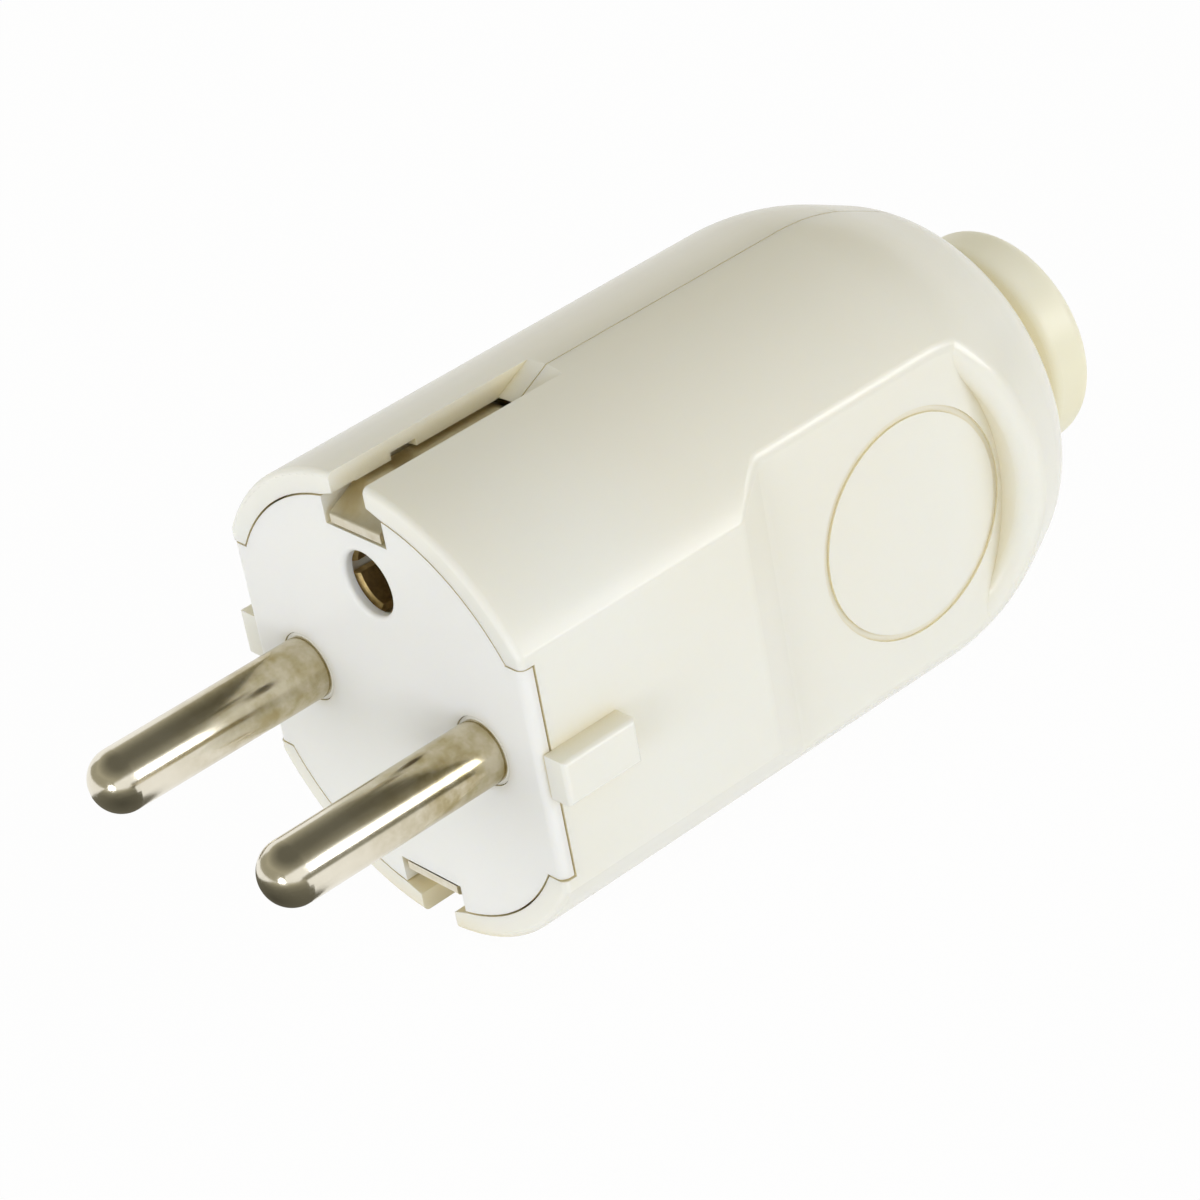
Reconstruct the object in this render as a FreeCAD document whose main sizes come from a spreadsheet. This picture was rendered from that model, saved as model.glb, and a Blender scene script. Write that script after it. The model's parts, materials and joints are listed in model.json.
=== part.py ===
import FreeCAD, Part
import math
import os
import Sketcher

# Two-pin earthed mains plug, rewirable, with contacts for both side-strip and pin earthing.
# X runs along the row of pins, the pins point towards -Y, and Z is up.
# The origin is midway between the pins, on the face that meets the socket.

doc = FreeCAD.newDocument("mains_plug")
sheet = doc.addObject("Spreadsheet::Sheet", "sizes")

# Driving sizes in millimetres
SIZES = {
    # Pins
    "pin_diameter": (4.8, "shank of each pin"),
    "pin_reach": (19.2, "from the face to the tip"),
    "pin_spacing": (19.0, "between the pins' axes"),
    "tip_roundness": (0.96, "rounding of the tip, as a share of the shank's radius"),
    "seat_diameter": (5.3, "thicker part of the pin, inside the carrier"),
    "seat_start": (0.1, "thicker part of the pin, from the face"),
    "seat_clearance": (0.05, "round the pin in the carrier"),
    "flange_diameter": (7.6, "flange that stops the pin"),
    "flange_thickness": (1.5, "flange that stops the pin"),
    "head_diameter": (6.2, "terminal head of the pin"),
    "head_length": (9.5, "terminal head behind the flange"),
    "head_rounding": (0.5, "rear edge of the terminal head"),
    "wire_hole_diameter": (3.0, "hole for the core, from the rear"),
    "wire_hole_depth": (7.0, "hole for the core, from the rear"),
    "pin_screw_place": (6.0, "terminal screw behind the flange"),
    # Outer form of the housing
    "body_diameter": (36.6, "round part of the housing"),
    "body_length": (55.3, "from the face to the rear end of the housing"),
    "dome_length": (10.7, "slope of the dome along the plug"),
    "dome_drop": (5.0, "slope of the dome towards the axis"),
    "dome_blend_offset": (1.3, "centre of the dome's blend, from the axis"),
    "end_rounding": (8.0, "blend at the end"),
    "flat_depth": (2.6, "each flat below the round part"),
    "flat_length": (20.5, "from the face to the end of the flats"),
    "flat_rounding": (0.5, "long edges of the flats"),
    "ramp_length": (3.8, "from the flat down to the finger grip"),
    "ramp_rounding": (1.5, "where the ramp meets the flat and the grip"),
    "grip_depth": (4.5, "each finger grip below the round part"),
    "grip_end_place": (24.8, "centre of the grip's round end, from the rear end"),
    "grip_corner_gap": (0.24, "ends of the grip's round end, behind the dome's start"),
    "grip_rounding": (1.35, "edges of the grips"),
    "ring_offset": (6.9, "engraved ring's centre, behind that of the round end"),
    "ring_diameter": (17.6, "ring engraved in the grip"),
    "ring_width": (0.5, "ring engraved in the grip"),
    "ring_depth": (0.2, "ring engraved in the grip"),
    "key_reach": (2.0, "guide rib out from the flat"),
    "key_height": (3.5, "guide rib"),
    "key_start": (0.4, "guide rib, from the face"),
    "key_length": (6.6, "guide rib"),
    "key_root": (0.8, "guide rib's root inside the wall"),
    "key_rounding": (0.4, "outer edges of the guide rib"),
    "front_edge_rounding": (0.5, "front rim of the housing"),
    # Wall and split
    "wall": (1.6, "housing wall"),
    "end_wall": (2.0, "wall round the cord entry"),
    "dome_wall_shift": (0.4, "inner dome starts before the outer one"),
    "end_wall_shift": (0.8, "inner end narrower than the outer slope"),
    "ramp_wall_shift": (0.4, "inner ramp starts before the outer one"),
    "rim_length": (2.1, "thicker front rim that traps the carrier"),
    "rim_height": (0.2, "front rim, in from the wall"),
    "rim_bevel": (0.5, "slanted edges of the front rim beside the slot"),
    "split_gap": (0.1, "between the two halves"),
    "stop_height": (1.9, "rib behind the carrier, in from the wall"),
    "stop_width": (1.6, "rib behind the carrier"),
    "stop_half_gap": (4.0, "from the axis to the rib's ends beside the strip"),
    # Carrier
    "carrier_clearance": (0.15, "carrier inside the housing"),
    "carrier_depth": (12.5, "from the face to the carrier's rear rim"),
    "carrier_face": (3.0, "thickness of the carrier's face"),
    "carrier_wall": (1.6, "skirt behind the face"),
    "lip_thickness": (1.0, "front lip that covers the ends of the flats"),
    "lip_end_gap": (1.0, "from the lip's end to the flat's edge"),
    "lip_gap": (0.15, "between the lip and the housing"),
    "bead_start": (5.5, "locking bead, from the face"),
    "bead_width": (2.0, "locking bead"),
    "bead_height": (0.55, "locking bead above the skirt"),
    "bead_clearance": (0.15, "round the bead in its groove"),
    "lip_rounding": (0.7, "ends of the lip at the flats"),
    "pin_boss_diameter": (8.6, "boss round each pin"),
    "flange_clearance": (0.1, "round the pin's flange"),
    # Earth strip and slots
    "slot_width": (3.7, "opening in the housing over the strip"),
    "slot_length": (15.2, "opening, from the face"),
    "slot_ramp": (3.2, "slope from the slot's end to the surface"),
    "strip_width": (5.4, "earth strip"),
    "strip_thickness": (0.8, "earth strip"),
    "strip_depth": (2.0, "strip's contact face below the round part"),
    "strip_bend_gap": (0.25, "under the strip's rear bends"),
    "strip_lip_drop": (1.45, "front lip of the strip below the contact face"),
    "strip_lip_height": (0.75, "front end of the strip"),
    "strip_lip_start": (0.05, "front lip, from the face"),
    "strip_lip_rounding": (0.3, "upper edge of the front lip"),
    "strip_ramp_end": (2.8, "end of the strip's front slope"),
    "strip_ramp_rounding": (1.2, "bend at the end of the front slope"),
    "strip_ramp_shift": (0.2, "lower bend of the slope behind the upper one"),
    "strip_bend_radius": (1.4, "outside of the strip's rear bends"),
    "notch_width": (6.5, "notch in the carrier for the strip"),
    "notch_gap": (0.2, "between the strip's lip and the notch's floor"),
    # Earth socket
    "earth_height": (10.0, "earth socket above the pins"),
    "earth_hole_diameter": (5.0, "hole in the face"),
    "earth_hole_rounding": (0.35, "edge of the hole in the face"),
    "sleeve_bore": (4.9, "bore of the contact sleeve"),
    "sleeve_wall": (0.6, "contact sleeve"),
    "sleeve_start": (1.0, "front of the sleeve, from the face"),
    "sleeve_slit": (1.0, "slits that let the sleeve spring"),
    "sleeve_slit_length": (9.0, "slits, from the sleeve's front"),
    "sleeve_base": (0.8, "closed end of the sleeve"),
    "sleeve_mouth": (0.3, "bevel inside the sleeve's front"),
    "sleeve_clearance": (0.2, "round the sleeve and before it in its chamber"),
    "sleeve_boss_diameter": (8.6, "boss round the sleeve"),
    "tail_diameter": (2.8, "riveted tail of the sleeve"),
    "tail_head_diameter": (4.2, "peened end of the tail"),
    "tail_head_crown": (3.2, "flat top of the peened end"),
    "tail_head_height": (0.7, "peened end of the tail"),
    "tail_clearance": (0.05, "round the tail in the strip"),
    # Backplate and earth terminal
    "backplate_thickness": (2.5, "backplate"),
    "backplate_clearance": (0.3, "backplate inside the housing"),
    "terminal_height": (1.2, "earth terminal above the axis"),
    "carrier_screw_inset": (7.7, "carrier screw in from the housing's wall"),
    "head_clearance": (0.15, "round the pins' heads in the backplate"),
    "screw_boss_diameter": (6.0, "boss for the carrier screw"),
    "screw_boss_floor": (1.2, "blind end of the carrier screw's hole behind the face"),
    "washer_side": (6.4, "square clamp washer"),
    "washer_thickness": (1.0, "square clamp washer"),
    # Screws
    "screw_diameter": (3.0, "all screws"),
    "thread_clearance": (0.05, "between a screw and its threaded hole"),
    "passing_clearance": (0.2, "between a screw and a hole it passes"),
    "screw_end_gap": (0.8, "beyond a screw's end in a blind hole"),
    "screw_head_diameter": (5.4, "cheese head"),
    "screw_head_height": (1.9, "cheese head"),
    "driver_slot_width": (0.8, "slot in a screw's head"),
    "driver_slot_depth": (0.9, "slot in a screw's head"),
    "screw_head_rounding": (0.4, "edge of a screw's head"),
    "screw_tip_bevel": (0.4, "end of a screw"),
    "pin_screw_gap": (0.8, "under a terminal screw's head"),
    "pin_screw_length": (2.9, "terminal screws of the pins"),
    "earth_screw_length": (4.0, "earth terminal screw"),
    "carrier_screw_length": (9.0, "carrier screw"),
    "clamp_screw_length": (11.0, "cord clamp screws"),
    "housing_screw_length": (16.0, "housing screws"),
    # Fixing of the two halves
    "housing_screw_gap": (6.2, "behind the pins' terminal heads"),
    "housing_screw_offset": (8.2, "above and below the axis"),
    "boss_diameter": (6.2, "bosses of the housing screws"),
    "head_seat": (9.2, "screw heads' seat, from the middle"),
    "well_diameter": (6.0, "well over each screw head"),
    "well_boss_diameter": (7.8, "boss round each well"),
    "insert_diameter": (4.4, "threaded bush"),
    "insert_length": (6.0, "threaded bush"),
    "insert_recess": (0.3, "threaded bush below the split"),
    # Cord clamp
    "clamp_inset": (11.2, "middle of the clamp, from the rear end"),
    "clamp_depth": (5.0, "clamp bar along the plug"),
    "clamp_half_span": (11.6, "clamp bar up and down"),
    "clamp_thickness": (2.6, "clamp bar at its ends"),
    "clamp_screw_offset": (8.7, "above and below the axis"),
    "clamp_boss_diameter": (5.0, "bosses of the clamp screws"),
    "cord_diameter": (8.0, "largest cord"),
    "cord_squeeze": (0.3, "clamp's grip into the cord"),
    "saddle_width": (2.4, "rib under the cord, along the plug"),
    "saddle_half_height": (6.5, "rib under the cord"),
    "saddle_start": (1.0, "rib under the cord, from the split"),
    # Grommet
    "grommet_neck_diameter": (13.6, "neck in the housing's end"),
    "grommet_flange_diameter": (17.0, "flange inside the housing"),
    "grommet_flange_thickness": (2.4, "flange inside the housing"),
    "grommet_bead_diameter": (17.5, "bead outside the housing"),
    "grommet_bead_start": (3.0, "widest part of the bead, behind the housing"),
    "grommet_groove_end": (0.8, "end of the straight neck, behind the housing"),
    "grommet_reach": (6.8, "bead behind the housing"),
    "grommet_rounding": (1.2, "edges of the bead"),
    "grommet_gap": (0.15, "between the grommet and the housing"),
}


class Formula:
    """A length that knows its number and how the sheet works it out."""

    def __init__(self, number, text):
        self.number = number
        self.text = text

    def _join(self, other, sign, turned, work):
        other = other if isinstance(other, Formula) else Formula(other, repr(other))
        left, right = (other, self) if turned else (self, other)
        text = "(%s %s %s)" % (left.text, sign, right.text)
        return Formula(work(left.number, right.number), text)

    def __add__(self, other):
        return self._join(other, "+", False, lambda a, b: a + b)

    def __radd__(self, other):
        return self._join(other, "+", True, lambda a, b: a + b)

    def __sub__(self, other):
        return self._join(other, "-", False, lambda a, b: a - b)

    def __rsub__(self, other):
        return self._join(other, "-", True, lambda a, b: a - b)

    def __mul__(self, other):
        return self._join(other, "*", False, lambda a, b: a * b)

    def __rmul__(self, other):
        return self._join(other, "*", True, lambda a, b: a * b)

    def __truediv__(self, other):
        return self._join(other, "/", False, lambda a, b: a / b)

    def __neg__(self):
        return Formula(-self.number, "(0 - %s)" % self.text)

    def leg(self, other):
        """The other leg of a right triangle, with self as its longest side."""
        number = math.sqrt(self.number ** 2 - other.number ** 2)
        return Formula(number, "sqrt(%s * %s - %s * %s)" % (self.text, self.text, other.text, other.text))

    def span(self, other):
        """The longest side of a right triangle with these two legs."""
        number = math.hypot(self.number, other.number)
        return Formula(number, "sqrt(%s * %s + %s * %s)" % (self.text, self.text, other.text, other.text))


class Sizes:
    """The sheet's cells, each as a Formula."""

    def __init__(self):
        for row, (name, (number, note)) in enumerate(SIZES.items(), start=1):
            sheet.set("A%d" % row, name)
            sheet.set("B%d" % row, str(number))
            sheet.set("C%d" % row, note)
            sheet.setAlias("B%d" % row, name)
            setattr(self, name, Formula(number, "sizes." + name))


size = Sizes()
doc.recompute()
ZERO = Formula(0.0, "0")
FRONT_MARGIN = Formula(1.0, "1")
EDGE = size.body_diameter
FAR_EDGE = 2 * size.body_length
TOUCHING = 1e-4


# Sketching and feature helpers

def new_body(name):
    return doc.addObject("PartDesign::Body", name)


def new_sketch(body, role, lift=None):
    """Sketch on one of the body's origin planes, lifted along the plane's normal."""
    sketch = body.newObject("Sketcher::SketchObject", body.Name + "_sketch")
    plane = next(item for item in body.Origin.OriginFeatures if item.Role == role)
    sketch.AttachmentSupport = [(plane, "")]
    sketch.MapMode = "FlatFace"
    if lift is not None:
        sketch.setExpression(".AttachmentOffset.Base.z", lift.text)
    return sketch


def hold(sketch, kind, where, length):
    """Constrain a place or a radius in the sketch to a formula."""
    index = sketch.addConstraint(Sketcher.Constraint(kind, *where, length.number))
    sketch.setExpression("Constraints[%d]" % index, length.text)


def outline(sketch, corners):
    """Closed outline through corners: each is across and along, and a rounding where it has one."""
    places = [FreeCAD.Vector(corner[0].number, corner[1].number, 0) for corner in corners]
    bends = [bend(places, index, corner) for index, corner in enumerate(corners)]
    count = len(corners)
    lines = []
    for index in range(count):
        following = bends[(index + 1) % count]
        lines.append(sketch.addGeometry(Part.LineSegment(bends[index][-1], following[0])))
    for index, corner in enumerate(corners):
        coming = lines[index - 1]
        going = lines[index]
        if len(corner) == 2:
            sketch.addConstraint(Sketcher.Constraint("Coincident", coming, 2, going, 1))
            hold(sketch, "DistanceX", (going, 1), corner[0])
            hold(sketch, "DistanceY", (going, 1), corner[1])
        else:
            round_corner(sketch, coming, going, places[index], bends[index], corner)


def bend(places, index, corner):
    """Where the outline's lines end at a corner: one point, or two with the arc's centre between."""
    place = places[index]
    if len(corner) == 2:
        return [place]
    back = (places[index - 1] - place).normalize()
    ahead = (places[(index + 1) % len(places)] - place).normalize()
    half_angle = back.getAngle(ahead) / 2
    radius = corner[2].number
    trim = radius / math.tan(half_angle)
    centre = place + (back + ahead).normalize() * (radius / math.sin(half_angle))
    return [place + back * trim, centre, place + ahead * trim]


def round_corner(sketch, coming, going, place, points, corner):
    """Arc between two lines of an outline, with the corner they would meet in kept as a point."""
    start, centre, end = points
    left_turn = (place - start).cross(end - place).z > 0
    first, last = (start, end) if left_turn else (end, start)
    first_angle = math.atan2(first.y - centre.y, first.x - centre.x)
    last_angle = math.atan2(last.y - centre.y, last.x - centre.x)
    disc = Part.Circle(centre, FreeCAD.Vector(0, 0, 1), corner[2].number)
    arc = sketch.addGeometry(Part.ArcOfCircle(disc, first_angle, last_angle))
    mark = sketch.addGeometry(Part.Point(place), True)
    first_line, last_line = ((coming, 2), (going, 1)) if left_turn else ((going, 1), (coming, 2))
    sketch.addConstraint(Sketcher.Constraint("Tangent", *first_line, arc, 1))
    sketch.addConstraint(Sketcher.Constraint("Tangent", *last_line, arc, 2))
    sketch.addConstraint(Sketcher.Constraint("PointOnObject", mark, 1, coming))
    sketch.addConstraint(Sketcher.Constraint("PointOnObject", mark, 1, going))
    hold(sketch, "DistanceX", (mark, 1), corner[0])
    hold(sketch, "DistanceY", (mark, 1), corner[1])
    hold(sketch, "Radius", (arc,), corner[2])


def box_outline(sketch, left, right, low, high):
    outline(sketch, [(left, low), (right, low), (right, high), (left, high)])


def circle(sketch, across, along, radius):
    place = FreeCAD.Vector(across.number, along.number, 0)
    edge = sketch.addGeometry(Part.Circle(place, FreeCAD.Vector(0, 0, 1), radius.number))
    hold(sketch, "DistanceX", (edge, 3), across)
    hold(sketch, "DistanceY", (edge, 3), along)
    hold(sketch, "Radius", (edge,), radius)


def extrude(body, kind, sketch, length, back=False, both=False):
    """Pad or pocket of a given length, or of half of it each way."""
    feature = body.newObject("PartDesign::" + kind, body.Name + "_" + kind.lower())
    feature.Profile = sketch
    feature.Reversed = back
    if both:
        feature.SideType = "Symmetric"
    feature.setExpression("Length", length.text)
    return feature


def turn(body, kind, sketch, axis="V_Axis"):
    """Revolution or groove of a whole turn about one of the sketch's axes."""
    feature = body.newObject("PartDesign::" + kind, body.Name + "_" + kind.lower())
    feature.Profile = sketch
    feature.ReferenceAxis = (sketch, [axis])
    feature.Angle = 360.0
    return feature


def pad_rearwards(body, draw, start, length):
    """Pad a sketch seen from the front, from start towards the rear."""
    sketch = new_sketch(body, "XZ_Plane", -start)
    draw(sketch)
    return extrude(body, "Pad", sketch, length, back=True)


def pocket_rearwards(body, draw, start, length):
    """Pocket a sketch seen from the front, from start towards the rear."""
    sketch = new_sketch(body, "XZ_Plane", -start)
    draw(sketch)
    return extrude(body, "Pocket", sketch, length)


def mirror(body, features, role):
    """Mirror features of the body in one of its origin planes."""
    feature = body.newObject("PartDesign::Mirrored", body.Name + "_mirrored")
    feature.Originals = features
    plane = next(item for item in body.Origin.OriginFeatures if item.Role == role)
    feature.MirrorPlane = (plane, [""])
    body.Tip = feature
    return feature


def round_edges(body, chosen, radius):
    """Fillet the edges of the body's shape that the chosen test accepts."""
    doc.recompute()
    base = body.Tip
    names = ["Edge%d" % (i + 1) for i, edge in enumerate(base.Shape.Edges) if chosen(edge)]
    feature = body.newObject("PartDesign::Fillet", body.Name + "_fillet")
    feature.Base = (base, names)
    feature.setExpression("Radius", radius.text)
    return feature


def combine(kind, name, base, tool):
    """Part::Cut or Part::Common of two objects."""
    feature = doc.addObject("Part::" + kind, name)
    feature.Base = base
    feature.Tool = tool
    return feature


def fuse(name, shapes):
    feature = doc.addObject("Part::MultiFuse", name)
    feature.Shapes = shapes
    return feature


def rod_along_x(name, start, length, along, up, diameter):
    """Part::Cylinder along X, from start, at a place along and up the plug."""
    rod = doc.addObject("Part::Cylinder", name)
    rod.setExpression("Radius", (diameter / 2).text)
    rod.setExpression("Height", length.text)
    rod.Placement = FreeCAD.Placement(FreeCAD.Vector(), FreeCAD.Rotation(FreeCAD.Vector(0, 1, 0), 90))
    rod.setExpression(".Placement.Base.x", start.text)
    rod.setExpression(".Placement.Base.y", along.text)
    rod.setExpression(".Placement.Base.z", up.text)
    return rod


def block(name, left, right, front, rear, low, high):
    """Part::Box between two places on each axis."""
    box = doc.addObject("Part::Box", name)
    box.setExpression("Length", (right - left).text)
    box.setExpression("Width", (rear - front).text)
    box.setExpression("Height", (high - low).text)
    box.setExpression(".Placement.Base.x", left.text)
    box.setExpression(".Placement.Base.y", front.text)
    box.setExpression(".Placement.Base.z", low.text)
    return box


# Sizes that several pieces share
pin_radius = size.pin_diameter / 2
pin_place = size.pin_spacing / 2
body_radius = size.body_diameter / 2
inner_radius = body_radius - size.wall
carrier_radius = inner_radius - size.carrier_clearance
rim_radius = inner_radius - size.rim_height
dome_blend = body_radius - size.dome_blend_offset
dome_start = size.body_length - size.dome_length
dome_slope = size.dome_length.span(size.dome_drop)
dome_blend_start = dome_start - dome_blend * (dome_slope - size.dome_length) / size.dome_drop
flat_place = body_radius - size.flat_depth
flat_inner = flat_place - size.wall
flat_half_height = body_radius.leg(flat_place)
grip_place = body_radius - size.grip_depth
grip_half_height = body_radius.leg(grip_place)
grip_end_centre = size.body_length - size.grip_end_place
grip_corner = dome_blend_start + size.grip_corner_gap
grip_end_radius = grip_half_height.span(grip_corner - grip_end_centre)
lip_half_height = flat_half_height - size.lip_end_gap
screw_radius = size.screw_diameter / 2
backplate_front = size.carrier_depth
bridge_front = backplate_front + size.backplate_thickness
bridge_rear = bridge_front + size.strip_thickness
strip_top = body_radius - size.strip_depth
strip_lip_top = strip_top - size.strip_lip_drop
strip_lip_base = strip_lip_top - size.strip_lip_height
sleeve_radius = size.sleeve_bore / 2 + size.sleeve_wall
carrier_screw_height = size.carrier_screw_inset - inner_radius
housing_screw_place = size.carrier_depth + size.head_length + size.housing_screw_gap
clamp_place = size.body_length - size.clamp_inset
cord_radius = size.cord_diameter / 2


# Housing

def plug_form(name, inset):
    """Outer form of the plug, or the form that lies inset within it."""
    round_form = round_body(name + "_round", inset)
    sides = both_sides(name + "_sides", side_space(name + "_side", inset))
    return combine("Cut", name, round_form, sides)


def round_body(name, inset):
    """Body of revolution: a cylinder with a domed rear end."""
    body = new_body(name)
    radius = body_radius - inset
    blend = dome_blend - inset
    end_blend = size.end_rounding - inset
    profile = new_sketch(body, "YZ_Plane")
    if inset.number:
        rear = size.body_length - size.end_wall
        outline(profile, [
            (-FRONT_MARGIN, ZERO),
            (rear, ZERO),
            (rear, body_radius - size.dome_drop - size.end_wall_shift, end_blend),
            (dome_start - size.dome_wall_shift, radius, blend),
            (-FRONT_MARGIN, radius),
        ])
    else:
        outline(profile, [
            (ZERO, ZERO),
            (size.body_length, ZERO),
            (size.body_length, body_radius - size.dome_drop, end_blend),
            (dome_start, radius, blend),
            (ZERO, radius, size.front_edge_rounding),
        ])
    turn(body, "Revolution", profile, "H_Axis")
    return body


def side_space(name, inset):
    """What the flat, the ramp and the finger grip take away on one side."""
    body = new_body(name)
    flat = flat_place - inset
    grip = grip_place - inset
    ramp_start = size.flat_length - (size.ramp_wall_shift if inset.number else ZERO)
    upright = new_sketch(body, "YZ_Plane")
    grip_outline(upright, grip_end_radius + inset)
    extrude(body, "Pad", upright, EDGE)
    kept = new_sketch(body, "XY_Plane")
    outline(kept, [
        (-FRONT_MARGIN, -EDGE),
        (flat, -EDGE),
        (flat, ramp_start),
        (grip, ramp_start + size.ramp_length),
        (grip, FAR_EDGE),
        (-FRONT_MARGIN, FAR_EDGE),
    ])
    extrude(body, "Pocket", kept, 2 * EDGE, both=True)
    return body


def soften_sides(name, form):
    """Fillet the ends of the ramps, and the edges where the sides meet the round form."""
    doc.recompute()
    skins = [Part.makeCompound(item.Shape.Shells) for item in (form.Base, form.Tool)]
    ramp_ends = (size.flat_length.number, size.flat_length.number + size.ramp_length.number)
    rows = []
    for number, edge in enumerate(form.Shape.Edges, start=1):
        first, middle, last = [
            edge.valueAt(edge.FirstParameter + share * (edge.LastParameter - edge.FirstParameter))
            for share in (0, 0.5, 1)
        ]
        on_both = all(Part.Vertex(middle).distToShape(skin)[0] < TOUCHING for skin in skins)
        if on_both and middle.y > size.front_edge_rounding.number:
            rows.append((number, side_rounding(first.y), side_rounding(last.y)))
        elif edge.BoundBox.YLength < TOUCHING and any(abs(middle.y - end) < TOUCHING for end in ramp_ends):
            rows.append((number, size.ramp_rounding.number, size.ramp_rounding.number))
    soft = doc.addObject("Part::Fillet", name)
    soft.Base = form
    soft.Edges = rows
    return soft


def side_rounding(along):
    """Radius of the sides' edges at a place along the plug: it grows over the ramp."""
    share = (along - size.flat_length.number) / size.ramp_length.number
    share = min(max(share, 0.0), 1.0)
    return size.flat_rounding.number * (1 - share) + size.grip_rounding.number * share


def grip_outline(sketch, radius):
    """Side view of the flat and grip: straight, with a round end."""
    front = -EDGE
    centre = grip_end_centre
    middle = FreeCAD.Vector(centre.number, 0, 0)
    disc = Part.Circle(middle, FreeCAD.Vector(0, 0, 1), radius.number)
    quarter = math.pi / 2
    low_corner = FreeCAD.Vector(front.number, -radius.number, 0)
    top_corner = FreeCAD.Vector(front.number, radius.number, 0)
    bow = sketch.addGeometry(Part.ArcOfCircle(disc, -quarter, quarter))
    top = sketch.addGeometry(Part.LineSegment(disc.value(quarter), top_corner))
    end = sketch.addGeometry(Part.LineSegment(top_corner, low_corner))
    low = sketch.addGeometry(Part.LineSegment(low_corner, disc.value(-quarter)))
    for one, other in ((bow, top), (top, end), (end, low), (low, bow)):
        sketch.addConstraint(Sketcher.Constraint("Coincident", one, 2, other, 1))
    hold(sketch, "DistanceY", (bow, 3), ZERO)
    hold(sketch, "Radius", (bow,), radius)
    for point in ((bow, 1), (bow, 2), (bow, 3)):
        hold(sketch, "DistanceX", point, centre)
    for point in ((end, 1), (end, 2)):
        hold(sketch, "DistanceX", point, front)
    for line in (top, low):
        sketch.addConstraint(Sketcher.Constraint("Horizontal", line))


def both_sides(name, right):
    """The given thing and its mirror image on the left."""
    left = doc.addObject("Part::Mirroring", name + "_left")
    left.Source = right
    left.Normal = (1, 0, 0)
    return fuse(name, [right, left])


def engraved_ring():
    """Ring cut into the floor of the grip."""
    body = new_body("engraved_ring")
    sketch = new_sketch(body, "YZ_Plane", grip_place - size.ring_depth)
    for radius in (size.ring_diameter / 2, size.ring_diameter / 2 - size.ring_width):
        circle(sketch, grip_end_centre + size.ring_offset, ZERO, radius)
    extrude(body, "Pad", sketch, 2 * size.ring_depth)
    return body


def guide_rib():
    """Guide rib on the flat."""
    body = new_body("guide_rib")
    sketch = new_sketch(body, "YZ_Plane", flat_place - size.key_root)
    rear = size.key_start + size.key_length
    box_outline(sketch, size.key_start, rear, -size.key_height / 2, size.key_height / 2)
    extrude(body, "Pad", sketch, size.key_root + size.key_reach)
    round_edges(body, face_edges(flat_place + size.key_reach), size.key_rounding)
    return body


def face_edges(across):
    """Test for the edges that lie in an upright plane across X."""
    def test(edge):
        box = edge.BoundBox
        return box.XLength < TOUCHING and abs(box.XMin - across.number) < TOUCHING
    return test


def housing_outside():
    """Outer form with the engraved rings and the guide ribs."""
    form = soften_sides("soft_form", plug_form("outer_form", ZERO))
    engraved = combine("Cut", "engraved_form", form, both_sides("engraved_rings", engraved_ring()))
    return fuse("housing_outside", [engraved, both_sides("guide_ribs", guide_rib())])


def housing_stop():
    """Ribs behind the carrier, above and below, clear of the earth strip."""
    body = new_body("housing_stop")
    front = bridge_front + size.carrier_clearance
    profile = new_sketch(body, "XY_Plane")
    box_outline(profile, inner_radius - size.stop_height, body_radius, front, front + size.stop_width)
    turn(body, "Revolution", profile)
    gap = new_sketch(body, "XZ_Plane", EDGE)
    box_outline(gap, -size.stop_half_gap, size.stop_half_gap, -EDGE, EDGE)
    extrude(body, "Pocket", gap, FAR_EDGE)
    return body


def front_rim():
    """Thicker rim at the front, cut back beside the slots."""
    body = new_body("front_rim")

    def draw(sketch):
        circle(sketch, ZERO, ZERO, body_radius)
        flatted_circle(sketch, rim_radius, flat_inner)

    pad_rearwards(body, draw, ZERO, size.rim_length)
    return body


def slot_cut():
    """Openings over the earth strip, each with a slope at its end and a wider front."""
    body = new_body("slot_cut")
    slope_end = size.slot_length + size.slot_ramp
    side = new_sketch(body, "YZ_Plane")
    outline(side, [
        (-FRONT_MARGIN, ZERO),
        (size.slot_length, ZERO),
        (size.slot_length, inner_radius),
        (slope_end, body_radius),
        (slope_end, EDGE),
        (-FRONT_MARGIN, EDGE),
    ])
    opening = extrude(body, "Pad", side, size.slot_width, both=True)
    slot_half = size.slot_width / 2
    notch_half = size.notch_width / 2
    shoulder = rim_radius.leg(notch_half)
    roof = shoulder + size.rim_bevel

    def draw(sketch):
        outline(sketch, [
            (-notch_half, ZERO),
            (notch_half, ZERO),
            (notch_half, shoulder),
            (slot_half, roof),
            (-slot_half, roof),
            (-notch_half, shoulder),
        ])

    front = pad_rearwards(body, draw, -FRONT_MARGIN, FRONT_MARGIN + size.rim_length)
    mirror(body, [opening, front], "XY_Plane")
    return body


def front_window():
    """Room at the flats' front ends for the carrier's lip."""
    half = lip_half_height + size.lip_gap
    rear = size.lip_thickness + size.lip_gap
    return block("front_window", -flat_place, flat_place, -FRONT_MARGIN, rear, -half, half)


def bead_groove():
    """Groove inside the housing that the carrier's bead snaps into."""
    body = new_body("bead_groove")
    radius = carrier_radius + size.bead_height + size.bead_clearance
    start = size.bead_start - size.bead_clearance
    width = size.bead_width + 2 * size.bead_clearance
    pad_rearwards(body, lambda sketch: flatted_circle(sketch, radius, flat_inner), start, width)
    return body


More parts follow.
